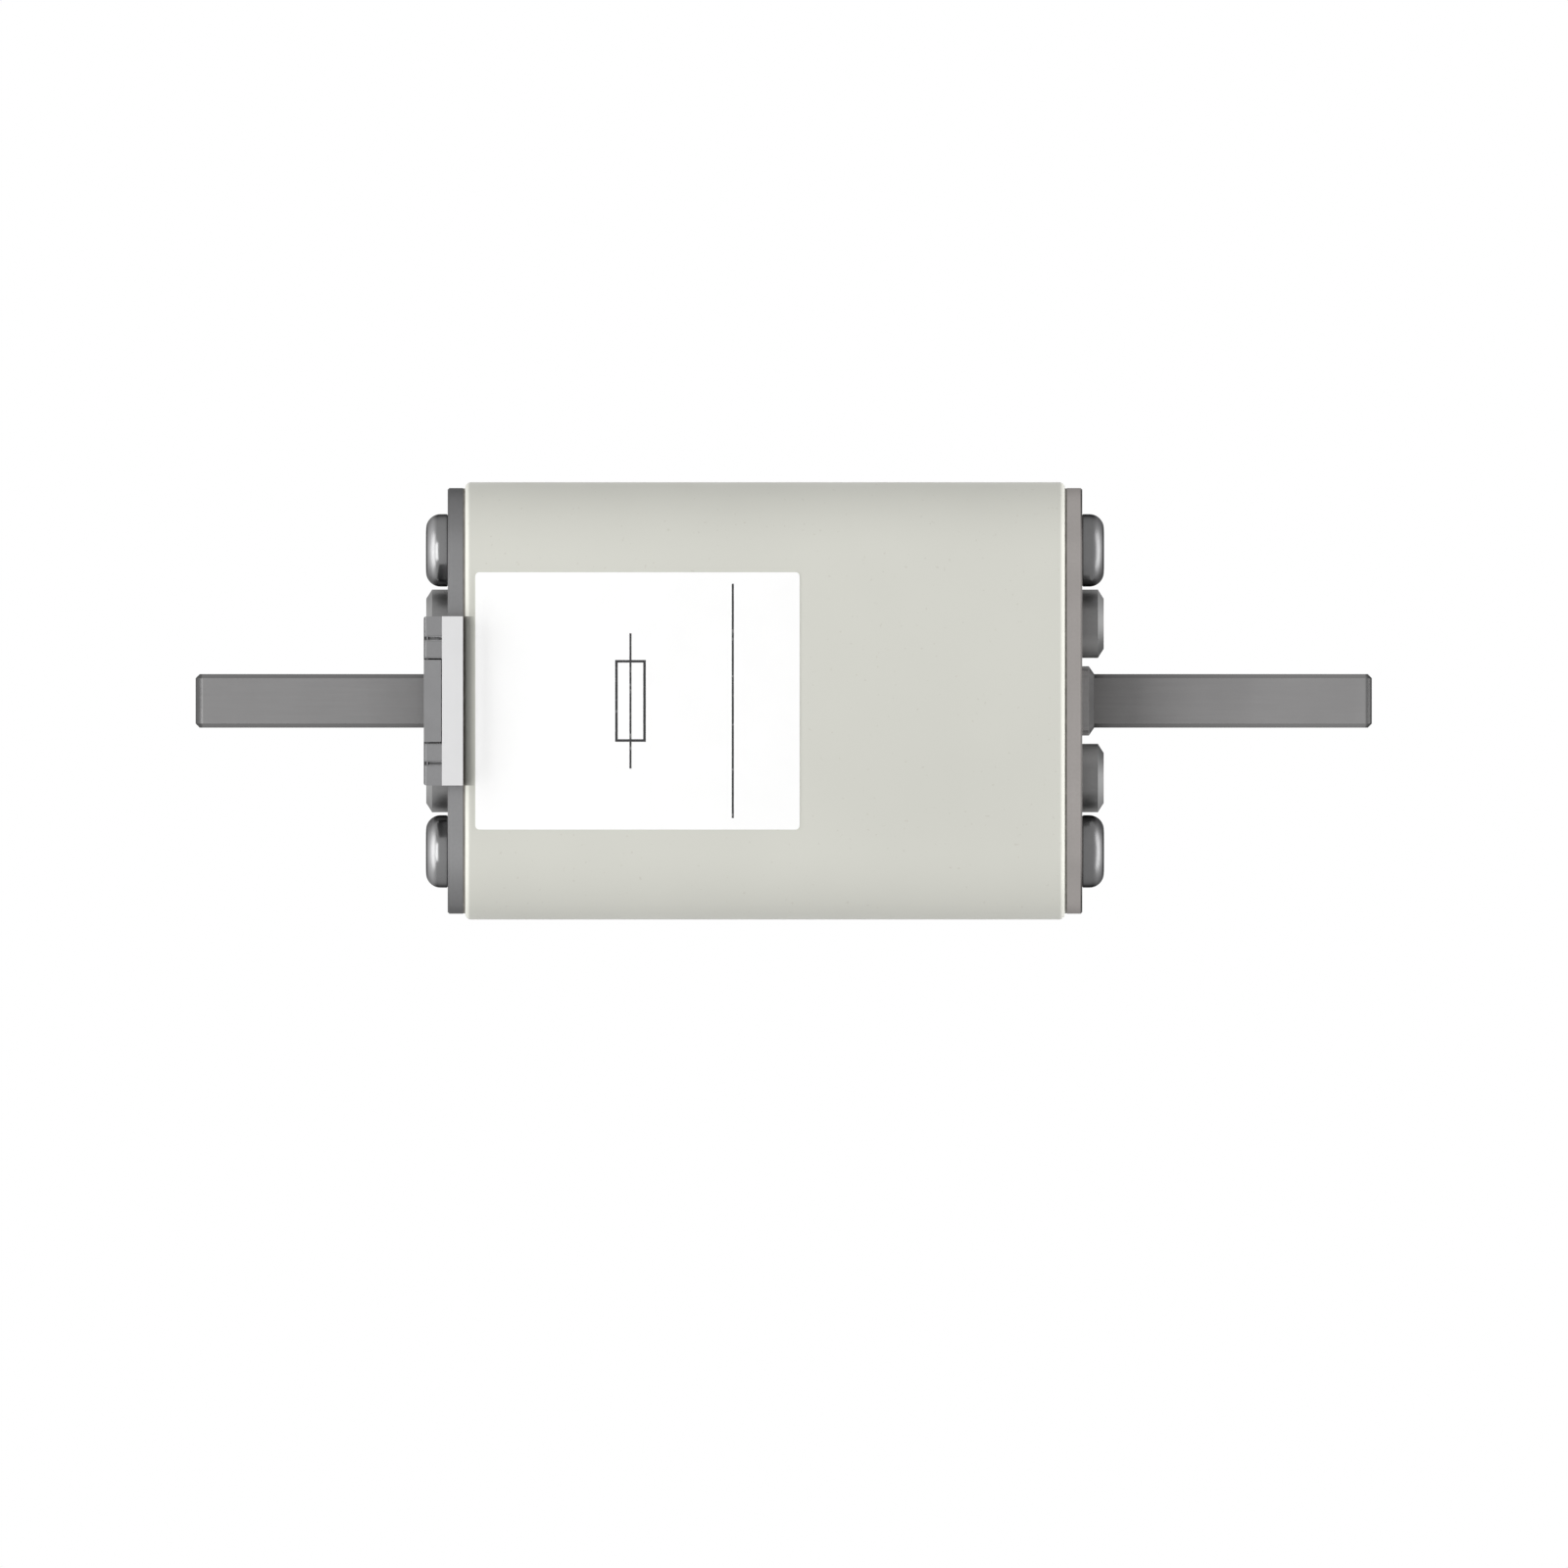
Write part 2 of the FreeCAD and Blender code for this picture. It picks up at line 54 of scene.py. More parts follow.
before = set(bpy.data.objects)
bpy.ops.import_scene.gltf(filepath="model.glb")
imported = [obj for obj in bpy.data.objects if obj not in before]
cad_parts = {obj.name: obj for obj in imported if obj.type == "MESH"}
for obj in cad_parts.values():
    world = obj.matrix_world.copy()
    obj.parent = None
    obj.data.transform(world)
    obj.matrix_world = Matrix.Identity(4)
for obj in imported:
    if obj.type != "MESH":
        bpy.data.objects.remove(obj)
cad_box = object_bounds()

# Angles, and how near two places are when they count as one, in metres
QUARTER_TURN = math.radians(90)
FULL_TURN = math.radians(360)
CREASE_ANGLE = math.radians(32)
MERGE_DISTANCE = 1e-7
PLANE_TOLERANCE = 1e-6

# How a grain is stretched: rolled along X or Y, sawn along Y, or turned evenly
ROLLED_ALONG_X = (0.05, 1, 1)
ROLLED_ALONG_Y = (1, 0.05, 1)
SAWN_ALONG_Y = (1, 0.1, 1)
TURNED = (1, 1, 1)

# Most of a noise lies between these values
NOISE_LOW, NOISE_HIGH = 0.3, 0.7

# Part of a bevel mask over which it fades in
BEVEL_LOW, BEVEL_HIGH = 0.2, 0.8

# How dark painted shade is beside unshaded metal
PAINTED_SHADE_TONE = 0.1


# Settings


def length(name, description, default):
    """A size in metres that a user may change."""
    return FloatProperty(
        name=name, description=description, default=default, min=0.0, unit="LENGTH", precision=5
    )


def view_offset(name, description, default):
    """A shift of the view in metres, either way."""
    return FloatProperty(
        name=name, description=description, default=default, unit="LENGTH", precision=5
    )


def power(name, lamp, default):
    """The power of a lamp in watts."""
    return FloatProperty(
        name=name, description="Power of the " + lamp, default=default, min=0.0, unit="POWER"
    )


def colour(name, description, default):
    """A colour that a user may change."""
    return FloatVectorProperty(
        name=name, description=description, default=default, size=3, min=0.0, max=1.0,
        subtype="COLOR",
    )


class CeramicSettings(bpy.types.PropertyGroup):
    """Sizes and colours of the ceramic body and its label."""

    corner_radius: length("Long corners", "Radius of the four long corners of the body", 0.0088)
    edge_radius: length("End edges", "Radius of the edges round both ends of the body", 0.0007)
    bore_radius: length("Bore", "Radius of the sand-filled bore", 0.0206)
    glaze: colour("Ceramic", "Colour of the fired ceramic", (0.638, 0.638, 0.584))
    speck: colour("Specks", "Colour of the small fired-in specks", (0.50, 0.48, 0.42))
    label_corner: length("Label corners", "Radius of the label's corners", 0.0005)
    label_film: colour("Label", "Colour of the label film", (0.97, 0.97, 0.967))
    label_ink: colour("Ink", "Colour of the printed rule and fuse symbol", (0.02, 0.02, 0.022))


class FastenerSettings(bpy.types.PropertyGroup):
    """Sizes and colours of the pan-head screws."""

    head_radius: length("Head radius", "Radius of a screw head", 0.0044)
    head_height: length("Head height", "Height of a screw head above its plate", 0.00265)
    head_round: length("Head rounding", "Radius between the side and top of a head", 0.00166)
    head_crown: length("Head crown", "How much a head rises towards its middle", 0.00012)
    shank_radius: length("Shank radius", "Radius of a screw's shank", 0.002)
    lobe_tip: length("Recess tip", "Radius of the recess at the tips of its six lobes", 0.00195)
    lobe_waist: length("Recess waist", "Radius of the recess between its lobes", 0.00142)
    recess_depth: length("Recess depth", "Depth of the recess", 0.0014)
    turns: IntProperty(
        name="Segments", description="Segments round a head", default=60, min=24, max=120
    )
    # The left and right screws are one steel in two tones, painted lighter and darker for light
    # and shade
    left_steel: colour(
        "Left screws", "Colour of the plated screws at the left", (0.205, 0.205, 0.207)
    )
    right_steel: colour(
        "Right screws", "Colour of the plated screws at the right", (0.155, 0.155, 0.157)
    )


class MetalSettings(bpy.types.PropertyGroup):
    """Colours of the plated metal, and where its painted shade lies."""

    # Each pair of plates, blades and rivets is one metal in two tones, painted lighter and darker
    # for light and shade
    plate: colour("Right end plate", "Colour of the right end plate", (0.30, 0.282, 0.272))
    left_plate: colour(
        "Left end plate", "Colour of the left end plate, painted darker for shade", (0.234, 0.234, 0.237)
    )
    left_blade: colour("Left blade", "Colour of the left blade's tin", (0.203, 0.201, 0.201))
    right_blade: colour("Right blade", "Colour of the right blade's tin", (0.229, 0.226, 0.226))
    left_foot: length("Left foot", "Place along X where the left blade's foot ends", 0.0422)
    right_foot: length("Right foot", "Place along X where the right blade's foot ends", 0.0376)
    # Painted shade beside each blade's foot reaches this far
    shade_reach: length(
        "Shade reach", "How far the painted shade beside a foot spreads along the blade", 0.0244
    )
    plate_top: length("Plate half height", "Half height of an end plate", 0.0258)
    left_rivet: colour(
        "Left rivets", "Colour of the rivet heads at the left", (0.235, 0.235, 0.235)
    )
    right_rivet: colour(
        "Right rivets", "Colour of the rivet heads at the right", (0.185, 0.185, 0.185)
    )


class IndicatorSettings(bpy.types.PropertyGroup):
    """Sizes and colours of the trip indicator."""

    base: colour("Base", "Colour of the moulded base", (0.70, 0.70, 0.705))
    bracket: colour("Bracket", "Colour of the sheet bracket", (0.205, 0.205, 0.208))
    inner_slit: length(
        "Inner slits", "Half distance between the slits beside the flag", 0.004975
    )
    outer_slit: length("Outer slits", "Half distance between the outer slits", 0.007575)
    lip_half: length("Lip half width", "Half width of the flag's front lip", 0.004775)
    lip_depth: length("Lip depth", "Depth of the flag's front lip", 0.0006)
    rib_width: length("Lip ribs", "Width of the rib on each side of the lip", 0.00022)
    flag_lip: colour("Flag lip", "Colour of the flag's front lip", (0.22, 0.22, 0.224))
    flag_body: colour(
        "Flag body", "Signal colour that shows once the flag is out", (0.62, 0.03, 0.02)
    )


class StudioSettings(bpy.types.PropertyGroup):
    """Camera, lamps, room and floor."""

    view_width: length("View width", "Width of the view at the object", 0.19002)
    view_x: view_offset("View X", "Middle of the view along X", 0.00003)
    view_z: view_offset("View Z", "Middle of the view along Z", -0.01007)
    key: power("Key", "large lamp beside the camera", 2.75)
    left: power("Left side", "lamp at the left", 4.7)
    right: power("Right side", "lamp at the right", 8.0)
    back: power("Back", "lamp behind the fuse", 3.5)
    sky: FloatProperty(
        name="Room", description="Strength of the even light of the room", default=0.40, min=0.0
    )
    floor: colour("Floor", "Colour of the floor", (0.9, 0.9, 0.9))


# Meshes


def bar_mesh(low, high):
    """A bmesh box between two corners."""
    bm = bmesh.new()
    bmesh.ops.create_cube(bm, size=1.0)
    bmesh.ops.scale(bm, vec=high - low, verts=bm.verts)
    bmesh.ops.translate(bm, vec=(low + high) / 2, verts=bm.verts)
    return bm


def round_off(bm, geom, radius, segments, affect="EDGES"):
    """Rounds edges, or the corners of an open profile or a flat sheet, with a circular bevel."""
    bmesh.ops.bevel(
        bm, geom=geom, offset=radius, offset_type="OFFSET", segments=segments, profile=0.5,
        affect=affect, material=-1, clamp_overlap=True,
    )


def edges_in_plane(bm, axis, place):
    """Edges whose ends both lie in the plane at a place along an axis."""
    return [
        e for e in bm.edges if all(abs(v.co[axis] - place) < PLANE_TOLERANCE for v in e.verts)
    ]


def open_edges(edges):
    """Edges that belong to fewer than two faces."""
    return [e for e in edges if len(e.link_faces) < 2]


def connected(verts):
    """All vertices joined to these by edges."""
    found, waiting = set(verts), list(verts)
    while waiting:
        for edge in waiting.pop().link_edges:
            for vert in edge.verts:
                if vert not in found:
                    found.add(vert)
                    waiting.append(vert)
    return found


def finished_piece(name, bm, material, replaced=None, weighted=True, body="fuse"):
    """Makes the object of a finished mesh on its body, in place of a CAD node or added to one."""
    bmesh.ops.remove_doubles(bm, verts=bm.verts, dist=MERGE_DISTANCE)
    bmesh.ops.recalc_face_normals(bm, faces=bm.faces)
    for face in bm.faces:
        face.smooth = True
    for edge in bm.edges:
        edge.smooth = edge.calc_face_angle(0.0) < CREASE_ANGLE
    mesh = bpy.data.meshes.new(name)
    bm.to_mesh(mesh)
    bm.free()
    mesh.materials.append(material)
    piece = bpy.data.objects.new(name, mesh)
    bpy.context.scene.collection.objects.link(piece)
    if weighted:
        even = piece.modifiers.new("Even flats", "WEIGHTED_NORMAL")
        even.keep_sharp = True
    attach(piece, body)
    if replaced:
        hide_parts(replaced)


# Finishes


class Finish:
    """A node material whose pattern follows the piece's own coordinates."""

    def __init__(self, name, metallic=0.0, specular=0.5, edge=1.0):
        self.material = bpy.data.materials.new(name)
        self.material.use_nodes = True
        self.tree = self.material.node_tree
        self.shader = self.tree.nodes["Principled BSDF"]
        self.shader.inputs["Metallic"].default_value = metallic
        self.shader.inputs["Specular IOR Level"].default_value = specular
        self.shader.inputs["Specular Tint"].default_value = (edge, edge, edge, 1.0)
        self.coordinates = self.node("ShaderNodeTexCoord")

    def node(self, kind, **values):
        """Adds a node and sets its properties."""
        made = self.tree.nodes.new(kind)
        for name, value in values.items():
            setattr(made, name, value)
        return made

    def join(self, source, target):
        """Links an output socket to an input socket."""
        self.tree.links.new(source, target)

    def pattern(self, stretch=TURNED):
        """Object coordinates, stretched along each axis."""
        mapping = self.node("ShaderNodeMapping")
        mapping.inputs["Scale"].default_value = stretch
        self.join(self.coordinates.outputs["Object"], mapping.inputs["Vector"])
        return mapping.outputs["Vector"]

    def noise(self, size, stretch=TURNED, detail=3.0):
        """Noise whose features are about this size in metres."""
        made = self.node("ShaderNodeTexNoise")
        made.inputs["Scale"].default_value = 1.0 / size
        made.inputs["Detail"].default_value = detail
        self.join(self.pattern(stretch), made.inputs["Vector"])
        return made.outputs["Fac"]

    def spread(self, source, low, high, to_low=0.0, to_high=1.0):
        """Maps a range of a value to another range."""
        made = self.node("ShaderNodeMapRange")
        made.inputs["From Min"].default_value = low
        made.inputs["From Max"].default_value = high
        made.inputs["To Min"].default_value = to_low
        made.inputs["To Max"].default_value = to_high
        self.join(source, made.inputs["Value"])
        return made.outputs["Result"]

    def combine(self, operation, *sources):
        """A math node on sockets or numbers."""
        made = self.node("ShaderNodeMath", operation=operation)
        for place, source in enumerate(sources):
            if isinstance(source, (int, float)):
                made.inputs[place].default_value = source
            else:
                self.join(source, made.inputs[place])
        return made.outputs["Value"]

    def times(self, first, second):
        """The product of two sockets or numbers."""
        return self.combine("MULTIPLY", first, second)

    def blend(self, factor, first, second):
        """Mixes two colours, each a socket or a tuple."""
        made = self.node("ShaderNodeMix", data_type="RGBA")
        self.join(factor, made.inputs["Factor"])
        for socket, value in ((made.inputs[6], first), (made.inputs[7], second)):
            if isinstance(value, bpy.types.NodeSocket):
                self.join(value, socket)
            else:
                socket.default_value = (*value, 1.0)
        return made.outputs[2]

    def mottle(self, tint, size, dark, light, detail=3.0):
        """A tint that drifts between two tones in patches of about this size."""
        patches = self.spread(self.noise(size, detail=detail), NOISE_LOW, NOISE_HIGH)
        return self.blend(patches, shade(tint, dark), shade(tint, light))

    def paint(self, socket):
        """Sets the base colour."""
        self.join(socket, self.shader.inputs["Base Color"])

    def roughen(self, source, low, high):
        """Lets a noise drive the roughness between two values."""
        rough = self.spread(source, NOISE_LOW, NOISE_HIGH, low, high)
        self.join(rough, self.shader.inputs["Roughness"])

    def emboss(self, height, depth, strength=0.5):
        """Lets a pattern drive the bump."""
        made = self.node("ShaderNodeBump")
        made.inputs["Strength"].default_value = strength
        made.inputs["Distance"].default_value = depth
        self.join(height, made.inputs["Height"])
        self.join(made.outputs["Normal"], self.shader.inputs["Normal"])

    def along(self, axis, output="Object"):
        """One axis of the piece's coordinates in metres, or of another coordinate output."""
        parts = self.node("ShaderNodeSeparateXYZ")
        self.join(self.coordinates.outputs[output], parts.inputs["Vector"])
        return parts.outputs[axis]

    def facing(self, axis):
        """How squarely a face looks along an axis of the piece, from 0 to 1."""
        return self.combine("ABSOLUTE", self.along(axis, "Normal"))

    def bevel_mask(self, axis):
        """1 on bevels that lean 45 degrees to an axis, and 0 on faces along or across it."""
        square = self.combine("POWER", self.facing(axis), 2.0)
        return self.times(self.times(square, self.combine("SUBTRACT", 1.0, square)), 4.0)


def shade(tint, factor):
    """A colour made lighter or darker."""
    return tuple(min(1.0, part * factor) for part in tint)


def fired_ceramic(settings, crevice):
    """Satin ceramic: soft cloudiness, small specks, a painted highlight on the end edges and an
    uneven glaze.

    crevice is (unshaded from, dark from, half height) of the painted shadow beside the
    indicator's base, in metres.
    """
    edge_highlight_tone, shadow_tone, speck_share, shadow_share = 1.28, 0.2, 0.35, 0.8
    finish = Finish("Fired ceramic", specular=0.15)
    glaze = tuple(settings.glaze)
    tone = finish.mottle(glaze, size=0.022, dark=0.975, light=1.015, detail=2.0)
    # Painted highlight on the rounded edges at both ends of the body
    end_edge_highlight = finish.spread(finish.bevel_mask("X"), 0.1, 0.7)
    tone = finish.blend(end_edge_highlight, tone, shade(glaze, edge_highlight_tone))
    specks = finish.spread(finish.noise(size=0.00055, detail=1.0), 0.72, 0.78, 0.0, speck_share)
    tone = finish.blend(specks, tone, tuple(settings.speck))
    # Painted shadow of the indicator's base on the front of the body, darkest at its left end and
    # below the base's top
    unshaded_from, dark_from, half_height = crevice
    painted_shadow = finish.spread(finish.along("X"), unshaded_from, dark_from, 0.0, shadow_share)
    height = finish.combine("ABSOLUTE", finish.along("Z"))
    level = finish.combine("LESS_THAN", height, half_height)
    front = finish.combine("LESS_THAN", finish.along("Y"), 0.0)
    painted_shadow = finish.times(painted_shadow, finish.times(level, front))
    finish.paint(finish.blend(painted_shadow, tone, shade(glaze, shadow_tone)))
    finish.roughen(finish.noise(size=0.006), low=0.40, high=0.50)
    finish.emboss(finish.noise(size=0.0016, detail=4.0), depth=0.00002)
    return finish.material


def printed_film(settings, marks):
    """White label film with printed bars, each (x, z, half width, half height) in metres."""
    finish = Finish("Label film", specular=0.4)
    paper = finish.mottle(tuple(settings.label_film), size=0.004, dark=0.985, light=1.0)
    across_label, up_label = finish.along("X"), finish.along("Z")
    printed = None
    for x, z, half_width, half_height in marks:
        across = finish.combine("COMPARE", across_label, x, half_width)
        upward = finish.combine("COMPARE", up_label, z, half_height)
        bar = finish.times(across, upward)
        printed = bar if printed is None else finish.combine("MAXIMUM", printed, bar)
    faintest = 0.82
    wear_and_highlight = finish.spread(finish.noise(size=0.0007, detail=2.0), 0.25, 0.4, faintest, 1.0)
    finish.paint(finish.blend(finish.times(printed, wear_and_highlight), paper, tuple(settings.label_ink)))
    finish.roughen(finish.noise(size=0.003), low=0.42, high=0.52)
    finish.emboss(finish.noise(size=0.0005), depth=0.000006, strength=0.4)
    return finish.material


def plated(
    name, tint, grain, roughness, bevels=(), flank=None, relief=0.000004, edge=0.4, marks=None
):
    """Plated metal: rolling or turning lines along its grain, and dull patches.

    bevels are (axis, tone, extra roughness) of painted highlights and shade on chamfered or
    rounded edges, flank is (share, tone) of painted light and shade on faces turned up or down,
    edge is the sheen at a glancing angle, and marks adds a piece's own painted light and shade.
    """
    line_share, line_tone, line_rough, patch_rough = 0.25, 0.88, 0.4, 0.6
    finish = Finish(name, metallic=1.0, edge=edge)
    tint = tuple(tint)
    tone = finish.mottle(tint, size=0.009, dark=0.95, light=1.04, detail=4.0)
    lines = finish.noise(size=0.0004, stretch=grain, detail=2.0)
    drawn = finish.spread(lines, 0.35, 0.65, 0.0, line_share)
    tone = finish.blend(drawn, tone, shade(tint, line_tone))
    # Painted light and shade on faces turned up or down
    if flank:
        share, flank_shade_tone = flank
        turned = finish.spread(finish.facing("Z"), 0.3, 1.0, 0.0, share)
        tone = finish.blend(turned, tone, shade(tint, flank_shade_tone))
    patches = finish.times(finish.noise(size=0.003), patch_rough)
    rough = finish.combine("ADD", finish.times(lines, line_rough), patches)
    rough = finish.spread(rough, NOISE_LOW, NOISE_HIGH, *roughness)
    # Painted highlights and shade on chamfered or rounded edges
    for axis, bevel_tone, bevel_rough in bevels:
        bevel = finish.spread(finish.bevel_mask(axis), BEVEL_LOW, BEVEL_HIGH)
        tone = finish.blend(bevel, tone, shade(tint, bevel_tone))
        if bevel_rough:
            rough = finish.combine("MULTIPLY_ADD", bevel, bevel_rough, rough)
    finish.paint(marks(finish, tone, tint) if marks else tone)
    finish.join(rough, finish.shader.inputs["Roughness"])
    finish.emboss(lines, relief)
    return finish.material


def top_shade(half_height):
    """Painted shade that deepens towards the top of a plate."""
    deepest = 0.2

    def marks(finish, tone, tint):
        depth = finish.spread(finish.along("Z"), -half_height, half_height, 0.0, deepest)
        return finish.blend(depth, tone, shade(tint, PAINTED_SHADE_TONE))
    return marks


def blade_light_and_shade(side, foot, unshaded, depth):
    """Painted shade on a blade beside its foot, with a painted highlight on the foot's flare and
    painted shade on the cut end.

    foot and unshaded are the places along X, outwards, where the painted shade begins and ends.
    """
    flare_end = foot - 0.0006
    fade, tip_shade_share, flare_highlight_tone = 1.6, 0.45, 2.4

    def marks(finish, tone, tint):
        outward = finish.times(finish.along("X"), float(side))
        near = finish.combine("POWER", finish.spread(outward, foot, unshaded, 1.0, 0.0), fade)
        tongue = finish.combine("GREATER_THAN", outward, foot)
        # Painted shade beside the foot
        root_shade = finish.times(near, finish.times(tongue, depth))
        tone = finish.blend(root_shade, tone, shade(tint, PAINTED_SHADE_TONE))
        # Painted shade on the cut end
        tip_shade = finish.spread(finish.facing("X"), 0.1, 0.25, 0.0, tip_shade_share)
        tip_shade = finish.times(tip_shade, finish.combine("GREATER_THAN", outward, unshaded))
        tone = finish.blend(tip_shade, tone, (0.0, 0.0, 0.0))
        # Painted highlight on the foot's flare
        flare = finish.spread(finish.bevel_mask("Z"), BEVEL_LOW, BEVEL_HIGH)
        flare = finish.times(flare, finish.combine("LESS_THAN", outward, flare_end))
        return finish.blend(flare, tone, shade(tint, flare_highlight_tone))
    return marks


def slit_light_and_shade(settings, left):
    """Painted shade round the rims of the bracket's slits and painted light on their walls, with
    painted shade at their left end.
    """
    wall_reach, rim_shade_from, rim_shade_to = 0.00021, 0.0002, 0.00042
    shade_until, bright_from = left + 0.0002, left + 0.001
    rim_shade_share, rim_shade_tone, left_end_shade_tone, inner_tone, outer_tone = 0.5, 0.3, 0.35, 3.2, 4.5

    def marks(finish, tone, tint):
        up = finish.combine("ABSOLUTE", finish.along("Z"))
        for middle, bright_tone in (
            (settings.inner_slit, inner_tone), (settings.outer_slit, outer_tone)
        ):
            off = finish.combine("ABSOLUTE", finish.combine("SUBTRACT", up, middle))
            # Painted shade round the rims of each slit
            rim_shade = finish.spread(off, rim_shade_from, rim_shade_to, rim_shade_share, 0.0)
            tone = finish.blend(rim_shade, tone, shade(tint, rim_shade_tone))
            # Painted light on each slit's walls, with painted shade at their left end
            inside = finish.combine("LESS_THAN", off, wall_reach)
            lit = finish.spread(finish.along("X"), shade_until, bright_from)
            walls = finish.blend(lit, shade(tint, left_end_shade_tone), shade(tint, bright_tone))
            tone = finish.blend(inside, tone, walls)
        return tone
    return marks


def moulded(name, tint, covered=None):
    """Moulded plastic with a fine spark-eroded grain, with painted shade on its edges and where a
    bracket covers it.

    covered is the place along X up to which it is covered.
    """
    edge_shade_tone, covered_shade_tone = 0.6, 0.65
    finish = Finish(name, specular=0.3)
    tint = tuple(tint)
    tone = finish.mottle(tint, size=0.005, dark=0.975, light=1.01)
    if covered is not None:
        # Painted shade on the edges and where the bracket covers the base
        edges = finish.spread(finish.bevel_mask("X"), BEVEL_LOW, BEVEL_HIGH)
        tone = finish.blend(edges, tone, shade(tint, edge_shade_tone))
        below = finish.combine("LESS_THAN", finish.along("X"), covered)
        tone = finish.blend(below, tone, shade(tint, covered_shade_tone))
    finish.paint(tone)
    finish.roughen(finish.noise(size=0.0015), low=0.42, high=0.54)
    finish.emboss(finish.noise(size=0.0003, detail=2.0), depth=0.00001)
    return finish.material


def two_tone_flag(settings, lip_rear):
    """Grey front lip and signal-coloured body of the flag."""
    finish = Finish("Flag plastic", specular=0.45)
    behind = finish.combine("GREATER_THAN", finish.along("Y"), lip_rear)
    flank = finish.combine("LESS_THAN", finish.facing("Y"), 0.7)
    lip = finish.mottle(settings.flag_lip, size=0.003, dark=0.96, light=1.04)
    body = finish.mottle(settings.flag_body, size=0.003, dark=0.92, light=1.05)
    finish.paint(finish.blend(finish.times(behind, flank), lip, body))
    finish.roughen(finish.noise(size=0.0012), low=0.4, high=0.52)
    finish.emboss(finish.noise(size=0.0003, detail=2.0), depth=0.00001)
    return finish.material


def granular(name, light, dark, grain, depth):
    """Packed grains, as of quartz sand or pressed fibre."""
    finish = Finish(name, specular=0.3)
    cells = finish.node("ShaderNodeTexVoronoi")
    cells.inputs["Scale"].default_value = 1.0 / grain
    finish.join(finish.pattern(), cells.inputs["Vector"])
    distance = cells.outputs["Distance"]
    finish.paint(finish.blend(finish.spread(distance, 0.1, 0.8), light, dark))
    finish.roughen(finish.noise(size=grain * 2), low=0.7, high=0.9)
    finish.emboss(distance, depth, strength=0.8)
    return finish.material


def coat_nodes(material, *names):
    """Gives CAD nodes a finish."""
    for name in names:
        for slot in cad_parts[name].material_slots:
            slot.material = material


# Pieces


class FUSE_OT_ceramic(bpy.types.Operator):
    """Ceramic tube with rounded long corners, rounded end edges and its bore"""

    bl_idname = "fuse.ceramic"
    bl_label = "Ceramic Body"

    def execute(self, context):
        settings = context.scene.fuse_ceramic
        low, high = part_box("ceramic_body")
        bm = bar_mesh(low, high)
        span = high.x - low.x
        corners = [e for e in bm.edges if abs(e.verts[0].co.x - e.verts[1].co.x) > span / 2]
        round_off(bm, corners, settings.corner_radius, segments=14)
        for end in (low.x, high.x):
            round_off(bm, edges_in_plane(bm, 0, end), settings.edge_radius, segments=6)
        centre = (low + high) / 2
        open_end(bm, centre, low.x, settings.bore_radius)
        mouth = open_end(bm, centre, high.x, settings.bore_radius)
        bore = bmesh.ops.extrude_edge_only(bm, edges=mouth)["geom"]
        far_end = [g for g in bore if isinstance(g, bmesh.types.BMVert)]
        bmesh.ops.translate(bm, vec=(-span, 0, 0), verts=far_end)
        bmesh.ops.remove_doubles(bm, verts=bm.verts, dist=PLANE_TOLERANCE)
        # The painted shadow beside the indicator's base reaches up to the height of its top
        base_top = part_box("indicator_base")[1].z
        unshaded_from, dark_from = low.x + 0.0012, low.x + 0.0003
        ceramic = fired_ceramic(settings, (unshaded_from, dark_from, base_top))
        finished_piece("ceramic_tube", bm, ceramic, "ceramic_body")
        return {"FINISHED"}


def open_end(bm, centre, end, radius):
    """Turns an end face of the body into a flat ring, and returns the edges of its bore."""
    caps = [f for f in bm.faces if all(abs(v.co.x - end) < PLANE_TOLERANCE for v in f.verts)]
    bmesh.ops.delete(bm, geom=caps, context="FACES_ONLY")
    rim = open_edges(edges_in_plane(bm, 0, end))
    grown = bmesh.ops.extrude_edge_only(bm, edges=rim)["geom"]
    ring = [g for g in grown if isinstance(g, bmesh.types.BMVert)]
    ring.sort(key=lambda vert: math.atan2(vert.co.z - centre.z, vert.co.y - centre.y))
    for place, vert in enumerate(ring):
        angle = FULL_TURN * (place + 0.5) / len(ring) - FULL_TURN / 2
        vert.co.y = centre.y + radius * math.cos(angle)
        vert.co.z = centre.z + radius * math.sin(angle)
    edges = [g for g in grown if isinstance(g, bmesh.types.BMEdge)]
    return [e for e in edges if all(v in ring for v in e.verts)]


class FUSE_OT_label(bpy.types.Operator):
    """Thin label with rounded corners, a printed rule and the general symbol of a fuse"""

    bl_idname = "fuse.label"
    bl_label = "Label"

    def execute(self, context):
        settings = context.scene.fuse_ceramic
        low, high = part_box("label")
        centre = (low + high) / 2
        bm = bmesh.new()
        turn = Matrix.Translation((centre.x, low.y, centre.z))
        turn = turn @ Matrix.Rotation(QUARTER_TURN, 4, "X")
        bmesh.ops.create_grid(bm, x_segments=1, y_segments=1, size=0.5, matrix=turn)
        size = (high.x - low.x, 1, high.z - low.z)
        about = Matrix.Translation(-centre)
        bmesh.ops.scale(bm, vec=size, verts=bm.verts, space=about)
        for corner in list(bm.verts):
            round_off(bm, [corner], settings.label_corner, segments=5, affect="VERTICES")
        sheet = bmesh.ops.extrude_face_region(bm, geom=list(bm.faces))
        back = [v for v in sheet["geom"] if isinstance(v, bmesh.types.BMVert)]
        bmesh.ops.translate(bm, vec=(0, high.y - low.y, 0), verts=back)
        film = printed_film(settings, label_marks(low, high))
        finished_piece("label_sheet", bm, film, "label")
        return {"FINISHED"}


